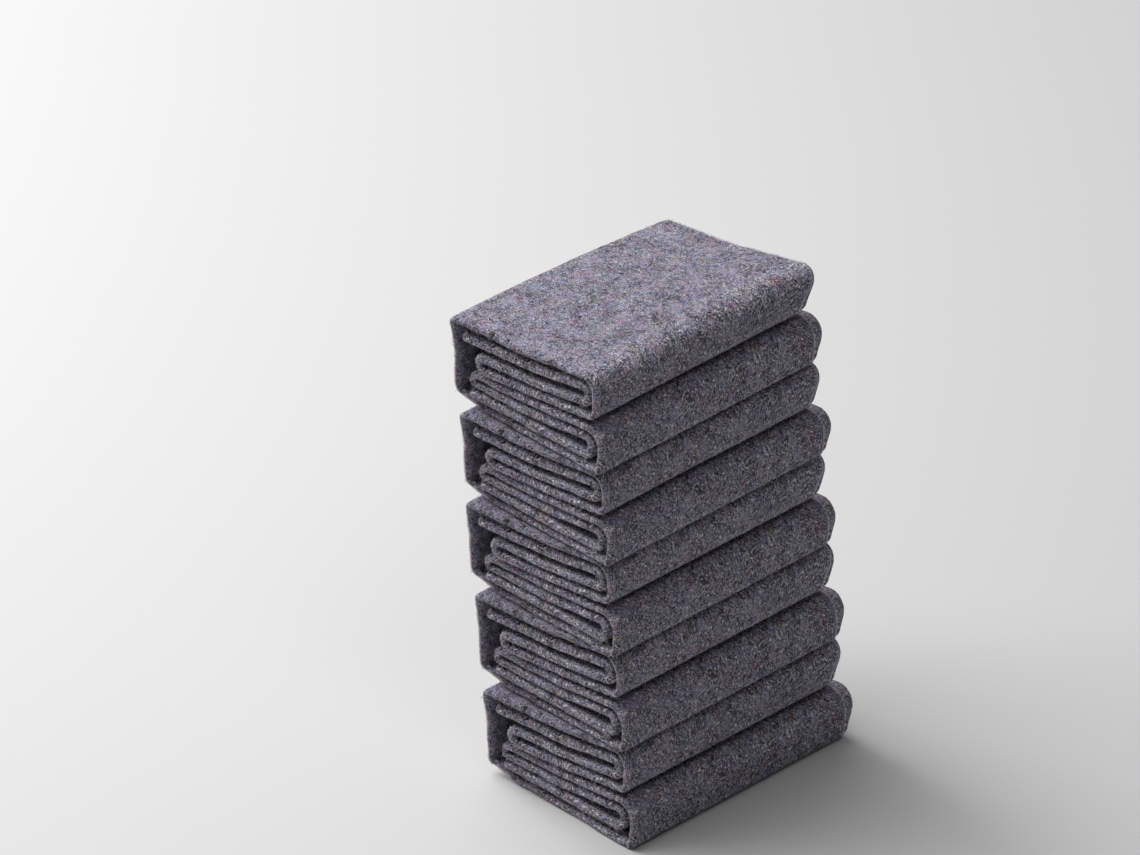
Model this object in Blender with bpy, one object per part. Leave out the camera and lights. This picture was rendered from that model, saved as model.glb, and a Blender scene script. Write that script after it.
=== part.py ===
"""Stack of five folded felt moving blankets.

Each blanket is one sheet of recycled-fibre felt, 1.83 m by 1.37 m. It is folded in four along its
short side into a strip four plies thick, and the strip is folded back and forth into eight bands:
the top band, the spine wall and the underside wrap round the six bands between them. A blanket's
solid is that strip, one long section with the real bends and gaps, run from end to end.

Metres, +Z up. +X runs from the closed spine to the rolled side, +Y from the folded front end to
the far end, and the stack stands centred on the origin.
"""

import math
from collections import namedtuple

import bmesh
import bpy

MM = 0.001

# One folded blanket, in millimetres
FOLDED_LENGTH = 346.0
FOLDED_WIDTH = 222.0
FOLDED_HEIGHT = 122.3
LAYING_GAP = 0.4

# How the far end settles at the spine, in millimetres, and how far it follows the set-back
FAR_TUCK = 9.0
FAR_TRIM = 9.0
FAR_FOLLOWS = 0.6

# Finest turn between two points of a bend
BEND_STEP = math.radians(31)
GENTLE_BEND = math.radians(9)

# A crease is a corner of the strip's middle line. across and height place it, radius rounds it,
# thick is the strip there, set_back is how far its front end stands behind the front of the
# blanket, beyond is how far its plies stand past the folded length at the far end, and bedding
# lifts it on a blanket that lies on another one.
Crease = namedtuple("Crease", "name across height radius thick set_back beyond bedding")

STRIP = (
    Crease("second band, free end", 15.5, 99.5, 0, 14, 5, 0, 0),
    Crease("second band", 110, 99.3, 400, 14, 7, 2, 0),
    Crease("upper inner turn, top", 203, 107, 9, 11, 9, 3, 0),
    Crease("upper inner turn, foot", 203, 88, 9, 11, 9, 3, 0),
    Crease("third band", 120, 81, 400, 10.5, 8, 3, 0),
    Crease("left turn, top", 34.5, 80.2, 7, 11, 7, 2, 0),
    Crease("left turn, foot", 35, 63, 8, 11, 9, 2, 0),
    Crease("fourth band", 120, 66.8, 400, 12, 9, 3, 0),
    Crease("upper roll, foot", 214.5, 73.8, 9, 8, 8.5, 3, 0),
    Crease("upper roll, shoulder", 214.5, 122.2, 18, 7.5, 8, 6, 0),
    Crease("top band", 100, 117.6, 400, 10.5, 3.5, 0, 0),
    Crease("spine, top", 1, 119.2, 7, 8, 0, 0, 0),
    Crease("spine wall", 0.5, 62, 200, 8, 8, 0, 0),
    Crease("spine, foot", -5, 20, 6, 8.5, 15, 0, 0.5),
    Crease("underside, heel", 34, 5, 40, 10, 22, 2, 0.6),
    Crease("underside", 120, 5, 400, 10, 17, 2, 1.0),
    Crease("lower roll, foot", 222, 5, 8, 10, 9, 3, 4.2),
    Crease("lower roll, shoulder", 222, 58.3, 20, 9.5, 10, 14, 0),
    Crease("fifth band", 120, 52.4, 400, 12, 11.2, 8, 0),
    Crease("left tip, top", 21, 50.5, 3.5, 8, 12.5, 5, 0),
    Crease("left tip, foot", 18, 37.5, 4, 8, 13.5, 5, 0),
    Crease("sixth band", 110, 36.6, 400, 13, 13, 6, 0),
    Crease("lower inner turn, top", 207, 44.5, 11, 10, 11, 8, 0),
    Crease("lower inner turn, foot", 207, 21, 11, 10, 10, 5, 0),
    Crease("seventh band", 110, 21.6, 400, 13, 13.5, 5, 0),
    Crease("seventh band, free end", 17, 23.5, 0, 12.5, 16, 3, 0),
)

# A free end is rounded: depth from the tip in half thicknesses, and the share of the thickness.
Rounding = namedtuple("Rounding", "depth share")
FREE_END = (Rounding(0.0, 0.35), Rounding(0.3, 0.75), Rounding(1.0, 1.0))

# Sections along the strip's width: the share of the folded length, a further distance in
# millimetres, and the share of the thickness. The front is a rounded fold, the far end a cut one.
Station = namedtuple("Station", "share further thick")
STATIONS = (
    Station(0.0, 0.0, 0.40),
    Station(0.0, 1.6, 0.80),
    Station(0.0, 5.0, 1.00),
    Station(0.38, 0.0, 1.00),
    Station(0.72, 0.0, 1.00),
    Station(1.0, -1.5, 1.00),
    Station(1.0, 0.0, 0.80),
)

# The blankets from the lowest up: where each lies in millimetres, the share that its height is
# pressed to, the share that it sinks at the far end of its spine, its top face's crown, and how
# far the shoulder of its upper roll flares out at the far end.
Blanket = namedtuple("Blanket", "name across along press sink crown flare")
BLANKETS = (
    Blanket("blanket_1", 19.3, 31.0, 1.0, 0.03, 0.0, 0.0),
    Blanket("blanket_2", 13.0, 24.7, 1.02, 0.03, 0.0, 0.0),
    Blanket("blanket_3", 8.0, 15.6, 0.985, 0.03, 0.0, 0.0),
    Blanket("blanket_4", 7.5, 7.5, 0.965, 0.03, 0.0, 0.0),
    Blanket("blanket_5", 0.0, 0.0, 1.015, 0.08, 2.5, 8.0),
)

FELT_COLOUR = (0.118, 0.115, 0.134, 1.0)
FELT_ROUGHNESS = 0.95

# A point of the strip's middle line, with the direction that the strip runs in there
Spot = namedtuple("Spot", "across height heading thick set_back beyond")


def clear_scene():
    """Remove every object of the open scene."""
    for thing in list(bpy.data.objects):
        bpy.data.objects.remove(thing, do_unlink=True)


def laid_creases(on_blanket):
    """The strip's creases, lifted under the blanket where it lies on another one."""
    lift = 1.0 if on_blanket else 0.0
    return [c._replace(height=c.height + lift * c.bedding) for c in STRIP]


def heading_between(first, second):
    """The direction from one crease to the next, in radians."""
    return math.atan2(second.height - first.height, second.across - first.across)


def bend(before, crease, after):
    """Spots along the round turn at one crease."""
    heading = heading_between(before, crease)
    turn = math.remainder(heading_between(crease, after) - heading, 2 * math.pi)
    if abs(turn) < GENTLE_BEND:
        middle = heading + turn / 2
        return [
            Spot(crease.across, crease.height, middle, crease.thick, crease.set_back, crease.beyond)
        ]
    room = 0.495 * min(
        math.hypot(crease.across - before.across, crease.height - before.height),
        math.hypot(after.across - crease.across, after.height - crease.height),
    )
    reach = min(crease.radius * math.tan(abs(turn) / 2), room)
    radius = reach / math.tan(abs(turn) / 2)
    side = math.copysign(1.0, turn)
    start_across = crease.across - reach * math.cos(heading)
    start_height = crease.height - reach * math.sin(heading)
    middle_across = start_across - side * radius * math.sin(heading)
    middle_height = start_height + side * radius * math.cos(heading)
    steps = max(1, round(abs(turn) / BEND_STEP))
    spots = []
    for step in range(steps + 1):
        now = heading + turn * step / steps
        across = middle_across + side * radius * math.sin(now)
        height = middle_height - side * radius * math.cos(now)
        spots.append(Spot(across, height, now, crease.thick, crease.set_back, crease.beyond))
    return spots


def free_end(tip, inward, leaving):
    """Spots of a rounded free end, from its tip inwards."""
    heading = heading_between(tip, inward)
    spots = []
    for rounding in FREE_END:
        depth = rounding.depth * tip.thick / 2
        spots.append(
            Spot(
                tip.across + depth * math.cos(heading),
                tip.height + depth * math.sin(heading),
                heading if leaving else heading + math.pi,
                tip.thick * rounding.share,
                tip.set_back,
                tip.beyond,
            )
        )
    return spots


def middle_line(creases):
    """The whole middle line of the strip, from one free end to the other."""
    spots = free_end(creases[0], creases[1], leaving=True)
    for before, crease, after in zip(creases, creases[1:], creases[2:]):
        spots += bend(before, crease, after)
    spots += reversed(free_end(creases[-1], creases[-2], leaving=False))
    return spots


def placed(blanket, spot, side, station):
    """Where one edge point of a section lies, in metres from the blanket's own corner."""
    half = side * spot.thick * station.thick / 2
    across = spot.across - half * math.sin(spot.heading)
    height = spot.height + half * math.cos(spot.heading)
    share = station.share
    along = share * FOLDED_LENGTH + station.further
    along += spot.set_back * (1 - (1 - FAR_FOLLOWS) * share)
    outward = max(0.0, across / FOLDED_WIDTH) ** 2 * (height / FOLDED_HEIGHT) ** 4
    along += share**3 * (spot.beyond + blanket.flare * outward)
    settled = share * share * max(0.0, 1 - across / FOLDED_WIDTH)
    crown = blanket.crown * math.sin(math.pi * share) * (height / FOLDED_HEIGHT) ** 4
    crown *= math.sin(math.pi * min(1.0, max(0.0, across / FOLDED_WIDTH)))
    height = height * blanket.press * (1 - blanket.sink * settled) + crown
    return (
        (across + FAR_TUCK * settled) * MM,
        (along - FAR_TRIM * settled) * MM,
        height * MM,
    )


def folded_mesh(blanket, on_blanket):
    """The closed mesh of one folded blanket."""
    spots = middle_line(laid_creases(on_blanket))
    mesh_builder = bmesh.new()
    sections = []
    for station in STATIONS:
        left = [mesh_builder.verts.new(placed(blanket, s, 1, station)) for s in spots]
        right = [mesh_builder.verts.new(placed(blanket, s, -1, station)) for s in spots]
        sections.append((left, right))

    def skin(a, b, c, d):
        mesh_builder.faces.new((a, b, c, d))

    last = len(spots) - 1
    for (left, right), (next_left, next_right) in zip(sections, sections[1:]):
        for i in range(last):
            skin(left[i], left[i + 1], next_left[i + 1], next_left[i])
            skin(right[i + 1], right[i], next_right[i], next_right[i + 1])
        skin(right[0], left[0], next_left[0], next_right[0])
        skin(left[last], right[last], next_right[last], next_left[last])
    front_left, front_right = sections[0]
    far_left, far_right = sections[-1]
    for i in range(last):
        skin(front_left[i + 1], front_left[i], front_right[i], front_right[i + 1])
        skin(far_left[i], far_left[i + 1], far_right[i + 1], far_right[i])
    bmesh.ops.recalc_face_normals(mesh_builder, faces=mesh_builder.faces)
    mesh = bpy.data.meshes.new(blanket.name)
    mesh_builder.to_mesh(mesh)
    mesh_builder.free()
    mesh.shade_smooth()
    mesh.set_sharp_from_angle(angle=math.radians(60))
    return mesh


def felt(name):
    """A dull grey felt of mixed recycled fibres."""
    material = bpy.data.materials.new(name)
    material.use_nodes = True
    shader = material.node_tree.nodes["Principled BSDF"]
    shader.inputs["Base Color"].default_value = FELT_COLOUR
    shader.inputs["Roughness"].default_value = FELT_ROUGHNESS
    shader.inputs["Metallic"].default_value = 0.0
    return material


def build_stack():
    """Lay the blankets on each other and centre the stack on the origin."""
    base = 0.0
    made = []
    for blanket in BLANKETS:
        mesh = folded_mesh(blanket, on_blanket=bool(made))
        mesh.materials.append(felt(blanket.name + "_felt"))
        thing = bpy.data.objects.new(blanket.name, mesh)
        thing.location = (blanket.across * MM, blanket.along * MM, base * MM)
        bpy.context.scene.collection.objects.link(thing)
        made.append(thing)
        base += blanket.press * FOLDED_HEIGHT + LAYING_GAP
    for axis in (0, 1):
        ends = [v.co[axis] + thing.location[axis] for thing in made for v in thing.data.vertices]
        middle = (min(ends) + max(ends)) / 2
        for thing in made:
            thing.location[axis] -= middle


clear_scene()
build_stack()
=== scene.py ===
"""Dressed model of a stack of five folded felt moving blankets.

Each blanket is one continuous sheet of needle-punched felt. The sheet is folded in four across,
which makes a strip four plies thick with a closed fold at the front and cut edges at the far end,
and the strip is then folded back and forth into eight bands inside its own spine wall.
"""

import logging
import math
from dataclasses import dataclass, field
from enum import Enum

import bmesh
import bpy
import numpy as np
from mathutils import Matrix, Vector


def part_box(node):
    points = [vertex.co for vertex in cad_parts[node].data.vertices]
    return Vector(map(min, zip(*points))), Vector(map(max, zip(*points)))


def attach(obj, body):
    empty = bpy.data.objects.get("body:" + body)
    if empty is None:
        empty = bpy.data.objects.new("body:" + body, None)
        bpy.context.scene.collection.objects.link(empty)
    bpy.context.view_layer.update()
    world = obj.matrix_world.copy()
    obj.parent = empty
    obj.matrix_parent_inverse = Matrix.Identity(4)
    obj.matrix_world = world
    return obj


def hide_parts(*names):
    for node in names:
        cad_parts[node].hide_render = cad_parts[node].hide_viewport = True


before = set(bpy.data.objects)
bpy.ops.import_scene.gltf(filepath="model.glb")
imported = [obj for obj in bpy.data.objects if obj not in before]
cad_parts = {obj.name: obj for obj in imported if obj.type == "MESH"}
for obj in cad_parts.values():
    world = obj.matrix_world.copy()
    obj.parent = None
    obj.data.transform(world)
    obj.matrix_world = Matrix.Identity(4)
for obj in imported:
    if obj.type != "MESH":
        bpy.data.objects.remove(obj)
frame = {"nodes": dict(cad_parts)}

LOG = logging.getLogger("blanket_stack")
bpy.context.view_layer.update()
BODY = "root"
MM = 0.001

# One folded blanket, in millimetres, as in the solids
FOLDED_LENGTH = 346.0
FOLDED_WIDTH = 222.0
FOLDED_HEIGHT = 122.3
LAYING_GAP = 0.4
ROLL_FACE = 226.75
FAR_TUCK = 9.0
FAR_TRIM = 9.0
FAR_FOLLOWS = 0.6
USUAL_THICK = 10.5

# Where the top band starts and ends along the strip
TOP_BAND = (622.0, 824.0)

# Cells each way of a ripple's pattern, before it repeats
CELLS = 64

# Types: an array, a node's properties or input values by name or number, and a node's output
Array = np.ndarray
Settings = dict[str | int, object]
Socket = bpy.types.NodeSocket


@dataclass(frozen=True)
class Crease:
    """A corner of the folded strip's middle line, in millimetres.

    across and height place it, radius rounds it and thick is the strip there. set_back is how
    far its front fold stands behind the blanket's front, beyond is how far its plies stand past
    the folded length at the far end, and bedding lifts it on a blanket that lies on another one.
    stagger is how far the outer ply's cut edge stands short of the inner plies, and step is the
    distance between the sheet's points from here to the next crease.
    """

    name: str
    across: float
    height: float
    radius: float
    thick: float
    set_back: float
    beyond: float
    bedding: float
    stagger: float
    step: float


STRIP = (
    Crease("second band, free end", 15.5, 99.5, 0, 14, 5, 0, 0, 3, 4.5),
    Crease("second band", 110, 99.3, 400, 14, 7, 2, 0, 3, 4.5),
    Crease("upper inner turn, top", 203, 107, 9, 11, 9, 3, 0, 3, 4.5),
    Crease("upper inner turn, foot", 203, 88, 9, 11, 9, 3, 0, 3, 4.5),
    Crease("third band", 120, 81, 400, 10.5, 8, 3, 0, 3, 4.5),
    Crease("left turn, top", 34.5, 80.2, 7, 11, 7, 2, 0, 3, 4.5),
    Crease("left turn, foot", 35, 63, 8, 11, 9, 2, 0, 3, 4.5),
    Crease("fourth band", 120, 66.8, 400, 12, 9, 3, 0, 4, 4.5),
    Crease("upper roll, foot", 214.5, 73.8, 12, 8, 8.5, -7, 0, 11, 4.5),
    Crease("upper roll, shoulder", 214.5, 122.2, 18, 7.5, 8, 6, 0, 4, 4.2),
    Crease("top band", 100, 117.6, 400, 10.5, 3.5, 0, 0, 4, 4.2),
    Crease("spine, top", 1, 119.2, 7, 8, 0, 0, 0, 3, 6),
    Crease("spine wall", 0.5, 62, 200, 8, 8, 0, 0, 3, 6),
    Crease("spine, foot", -5, 20, 6, 8.5, 15, 0, 0.5, 3, 8),
    Crease("underside, heel", 34, 5, 40, 10, 22, 2, 0.6, 4, 10),
    Crease("underside", 120, 5, 400, 10, 17, 2, 1.0, 5, 10),
    Crease("lower roll, foot", 222, 5, 8, 10, 9, 3, 4.2, 6, 4.5),
    Crease("lower roll, shoulder", 222, 58.3, 20, 9.5, 10, 14, 0, 13, 6),
    Crease("fifth band", 120, 52.4, 400, 12, 11.2, 8, 0, 8, 4.5),
    Crease("left tip, top", 21, 50.5, 3.5, 8, 12.5, 5, 0, 5, 4.5),
    Crease("left tip, foot", 18, 37.5, 4, 8, 13.5, 5, 0, 5, 4.5),
    Crease("sixth band", 110, 36.6, 400, 13, 13, 6, 0, 5, 4.5),
    Crease("lower inner turn, top", 207, 44.5, 11, 10, 11, 8, 0, 6, 4.5),
    Crease("lower inner turn, foot", 207, 21, 11, 10, 10, 5, 0, 5, 4.5),
    Crease("seventh band", 110, 21.6, 400, 13, 13.5, 5, 0, 5, 4.5),
    Crease("seventh band, free end", 17, 23.5, 0, 12.5, 16, 3, 0, 4, 4.5),
)


class Fineness(Enum):
    """How finely a sheet is divided: a factor on its steps along the strip, and millimetres across."""

    SHOWN = (1.0, 6.0)
    COVERED = (1.25, 7.0)


def linear(hex_colour: str) -> tuple[float, float, float, float]:
    """Turn an sRGB hex colour into linear values.

    Args:
        hex_colour: six hex digits after a hash.

    Returns:
        Linear red, green, blue and an alpha of one.
    """
    shares = [int(hex_colour[i : i + 2], 16) / 255 for i in (1, 3, 5)]
    bent = [s / 12.92 if s <= 0.04045 else ((s + 0.055) / 1.055) ** 2.4 for s in shares]
    return (bent[0], bent[1], bent[2], 1.0)


@dataclass(frozen=True)
class Ripple:
    """Soft irregular waves: their height, the millimetres between crests, and their pattern.

    aside moves the line on which a pattern is read where only the place along the strip counts.
    """

    height: float
    size: float
    pattern: int
    aside: float = 0.0

    def over(self, first: Array, second: Array, seed: int) -> Array:
        """The waves over a surface.

        Args:
            first: coordinates one way, in millimetres.
            second: coordinates the other way, in millimetres.
            seed: the blanket's own number.

        Returns:
            One height for each pair of coordinates.
        """
        lattice = np.random.default_rng(seed + self.pattern).uniform(-1, 1, (CELLS, CELLS))
        a, b = np.broadcast_arrays(first / self.size, second / self.size)
        low_a, low_b = np.floor(a).astype(int), np.floor(b).astype(int)
        part_a, part_b = a - low_a, b - low_b
        ease_a = part_a**3 * (part_a * (part_a * 6 - 15) + 10)
        ease_b = part_b**3 * (part_b * (part_b * 6 - 15) + 10)

        def corner(da: int, db: int) -> Array:
            """The lattice's value at one corner of each cell."""
            return lattice[(low_a + da) % CELLS, (low_b + db) % CELLS]

        near = corner(0, 0) * (1 - ease_a) + corner(1, 0) * ease_a
        far = corner(0, 1) * (1 - ease_a) + corner(1, 1) * ease_a
        return self.height * (near * (1 - ease_b) + far * ease_b)

    def down(self, run: Array, seed: int) -> Array:
        """The waves down the strip."""
        return self.over(run, 0 * run + self.aside, seed)


# The strip's unevenness: of its thickness, as a share, and of its front, in millimetres
THICKNESS = (Ripple(0.045, 34, 0), Ripple(0.03, 12, 10, 70))
FRONT = (Ripple(0.9, 27, 1, 50), Ripple(0.8, 9.5, 8, 90))

# The unevenness of its plies' far ends, and of the cloth along its normal, in millimetres
INNER_END = Ripple(0.8, 60, 9, 13)
CUT_END = Ripple(1.4, 70, 2, 9)
OUTER_END = Ripple(1.1, 55, 3, 31)
SWAY = Ripple(0.5, 85, 4)
LUMPS = (Ripple(0.26, 17, 5), Ripple(0.13, 8.5, 6))


def read_values(items: bpy.types.bpy_prop_collection, name: str, width: int = 1) -> Array:
    """Read one property of every item of a mesh's list.

    Args:
        items: the mesh's points, corners or faces.
        name: the property's name.
        width: how many numbers it has; a single one is whole.

    Returns:
        The values, one or one row for each item.
    """
    values = np.zeros(len(items) * width, np.int32 if width == 1 else np.float32)
    items.foreach_get(name, values)
    return values if width == 1 else values.reshape(-1, width)


def as_mesh(shape: bmesh.types.BMesh, name: str) -> bpy.types.Mesh:
    """Turn a finished shape into a mesh.

    Args:
        shape: the shape, which is freed.
        name: the mesh's name.

    Returns:
        The mesh.
    """
    mesh = bpy.data.meshes.new(name)
    shape.to_mesh(mesh)
    shape.free()
    return mesh


def in_scene(name: str, data: bpy.types.ID) -> bpy.types.Object:
    """Put a mesh, light or camera into the scene.

    Args:
        name: the object's name.
        data: the mesh, light or camera.

    Returns:
        Its object, at the origin.
    """
    thing = bpy.data.objects.new(name, data)
    bpy.context.scene.collection.objects.link(thing)
    return thing


def principled(name: str, inputs: Settings) -> bpy.types.Material:
    """Make a material of one shader.

    Args:
        name: the material's name.
        inputs: the values of the shader's inputs.

    Returns:
        The material.
    """
    material = bpy.data.materials.new(name)
    material.use_nodes = True
    for place, value in inputs.items():
        material.node_tree.nodes["Principled BSDF"].inputs[place].default_value = value
    return material


def softened(values: Array, reach: int = 4) -> Array:
    """Round the kinks of values that follow each other.

    Args:
        values: the values.
        reach: over how many neighbours each side.

    Returns:
        The softened values.
    """
    kernel = np.hanning(2 * reach + 3)[1:-1]
    padded = np.pad(values, reach, mode="edge")
    return np.convolve(padded, kernel / kernel.sum(), mode="valid")


@dataclass
class FoldedStrip:
    """The middle line of one blanket's strip, from one free end to the other.

    Args:
        lying: whether the blanket lies on another one and is bedded on it.
        coarser: a factor on the steps between the line's points.
        bend_step: the greatest turn between two points of a bend, in radians.
    """

    lying: bool
    coarser: float
    bend_step: float = math.radians(15)
    places: list[tuple[float, float]] = field(init=False)
    across: Array = field(init=False)
    height: Array = field(init=False)
    heading: Array = field(init=False)
    thick: Array = field(init=False)
    set_back: Array = field(init=False)
    beyond: Array = field(init=False)
    stagger: Array = field(init=False)
    length: Array = field(init=False)
    middles: dict[str, float] = field(init=False)

    def __post_init__(self) -> None:
        """Work out the points of the line."""
        lift = 1.0 if self.lying else 0.0
        places = [(c.across, c.height + lift * c.bedding) for c in STRIP]
        self.places = places
        rows = [self._row(STRIP[0], places[0], self._heading(places[0], places[1]))]
        marks = {STRIP[0].name: 0}
        for i in range(1, len(STRIP) - 1):
            bend = self._bend(i)
            rows = rows + self._run(rows[-1], bend[0], STRIP[i - 1].step)
            marks[STRIP[i].name] = len(rows) + len(bend) // 2
            rows = rows + bend
        last = self._row(STRIP[-1], places[-1], self._heading(places[-2], places[-1]))
        rows = rows + self._run(rows[-1], last, STRIP[-2].step) + [last]
        table = np.array(rows)
        self.across, self.height, self.heading = table[:, 0], table[:, 1], table[:, 2]
        self.thick, self.set_back = softened(table[:, 3]), softened(table[:, 4])
        self.beyond, self.stagger = softened(table[:, 5]), softened(table[:, 6])
        steps = np.hypot(np.diff(self.across), np.diff(self.height))
        self.length = np.concatenate([[0.0], np.cumsum(steps)])
        self.middles = {name: float(self.length[row]) for name, row in marks.items()}

    @staticmethod
    def _heading(start: tuple[float, ...], end: tuple[float, ...]) -> float:
        """The direction from one place to another, in radians."""
        return math.atan2(end[1] - start[1], end[0] - start[0])

    @staticmethod
    def _row(crease: Crease, place: tuple[float, float], heading: float) -> tuple[float, ...]:
        """One point of the line with the crease's own sizes."""
        return (*place, heading, crease.thick, crease.set_back, crease.beyond, crease.stagger)

    def _run(
        self, start: tuple[float, ...], end: tuple[float, ...], step: float
    ) -> list[tuple[float, ...]]:
        """Points between two others on a straight run, without its ends.

        Args:
            start: the point before the run.
            end: the point after the run.
            step: the greatest distance between two points, before it is made coarser.

        Returns:
            The points between.
        """
        distance = math.hypot(end[0] - start[0], end[1] - start[1])
        count = max(1, math.ceil(distance / (step * self.coarser)))
        heading = self._heading(start, end)
        points = []
        for k in range(1, count):
            share = k / count
            mixed = [a + (b - a) * share for a, b in zip(start, end)]
            mixed[2] = heading
            points.append(tuple(mixed))
        return points

    def _bend(self, number: int) -> list[tuple[float, ...]]:
        """Points along the round turn at one crease.

        Args:
            number: the crease's number.

        Returns:
            The turn's points, or one point where the strip hardly turns.
        """
        crease = STRIP[number]
        before, place, after = self.places[number - 1 : number + 2]
        heading = self._heading(before, place)
        turn = math.remainder(self._heading(place, after) - heading, 2 * math.pi)
        if abs(turn) < math.radians(1):
            return [self._row(crease, place, heading + turn / 2)]
        room = 0.495 * min(math.dist(before, place), math.dist(place, after))
        reach = min(crease.radius * math.tan(abs(turn) / 2), room)
        radius = reach / math.tan(abs(turn) / 2)
        side = math.copysign(1.0, turn)
        middle_across = place[0] - reach * math.cos(heading) - side * radius * math.sin(heading)
        middle_height = place[1] - reach * math.sin(heading) + side * radius * math.cos(heading)
        steps = max(2, math.ceil(abs(turn) / (self.bend_step * self.coarser)))
        points = []
        for k in range(steps + 1):
            now = heading + turn * k / steps
            spot = (
                middle_across + side * radius * math.sin(now),
                middle_height - side * radius * math.cos(now),
            )
            points.append(self._row(crease, spot, now))
        return points


class Ply(Enum):
    """The four plies of the strip, in the order in which the sheet runs through them."""

    INNER_CUT = 0
    INNER = 1
    TURNED = 2
    OUTER = 3


@dataclass
class PlyFold:
    """How the sheet goes back and forth across the strip's width, through its four plies.

    The sheet starts at a cut edge at the far end, turns at the front inside the outer fold, turns
    again at the far end, wraps round the front and ends at the outer ply's cut edge. Offsets are
    in shares of the strip's thickness, and the outer ply is on the negative side.

    Args:
        step: distance between points of the outer ply half way, in millimetres.
        hidden: number of steps along a ply that is covered.
        turn_points: number of points inside each fold.
        crowded: how much closer the outer ply's points stand at its two ends, as a share.
        slack: how much denser they are than the step asks, for that reason.
    """

    step: float
    hidden: int = 5
    turn_points: int = 7
    crowded: float = 0.6
    slack: float = 1.2
    points: list[tuple[float, float, float, int]] = field(default_factory=list)

    def __post_init__(self) -> None:
        """Lay out the points across the sheet."""
        half_way = [k / self.hidden for k in range(self.hidden + 1)]
        covered = [0.5 - 0.5 * math.cos(math.pi * share) for share in half_way]
        count = round(self.slack * FOLDED_LENGTH / self.step)
        even = [2 * math.pi * k / count for k in range(count + 1)]
        shown = [(turn - self.crowded * math.sin(turn)) / (2 * math.pi) for turn in even]
        self._ply(list(reversed(covered)), -1 / 8, Ply.INNER_CUT)
        self._front_fold(-1 / 8, Ply.INNER)
        self._ply(covered, 1 / 8, Ply.INNER)
        self._far_fold()
        self._ply(list(reversed(covered)), 3 / 8, Ply.TURNED)
        self._front_fold(3 / 8, Ply.OUTER)
        self._ply(shown, -3 / 8, Ply.OUTER)

    def _ply(self, reaches: list[float], offset: float, ply: Ply) -> None:
        """The flat run of one ply."""
        self.points += [(reach, 0.0, offset, ply.value) for reach in reaches]

    def _turns(self) -> list[float]:
        """How far round a fold each of its points is, in radians."""
        return [math.pi * k / (self.turn_points + 1) for k in range(1, self.turn_points + 1)]

    def _front_fold(self, start: float, ply: Ply) -> None:
        """A fold at the front, from one offset round to its opposite.

        Args:
            start: the offset that it starts from.
            ply: the ply that it leads into.
        """
        for angle in self._turns():
            ahead = -abs(start) * math.sin(angle)
            self.points.append((0.0, ahead, start * math.cos(angle), ply.value))

    def _far_fold(self) -> None:
        """The fold at the far end, between the two plies that have no cut edge."""
        for angle in self._turns():
            offset = 1 / 4 - math.cos(angle) / 8
            self.points.append((1.0, math.sin(angle) / 8, offset, Ply.TURNED.value))

    def columns(self) -> Array:
        """Reach, place ahead, offset and ply number, a row for each of them."""
        return np.array(self.points).T

    def sheet_run(self) -> Array:
        """Measure along the sheet from its inner cut edge.

        Returns:
            The distance of each point, in millimetres.
        """
        reach, ahead, offset = self.columns()[:3]
        along = reach * FOLDED_LENGTH + ahead * USUAL_THICK
        aside = offset * USUAL_THICK
        return np.concatenate([[0.0], np.cumsum(np.hypot(np.diff(along), np.diff(aside)))])


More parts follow.
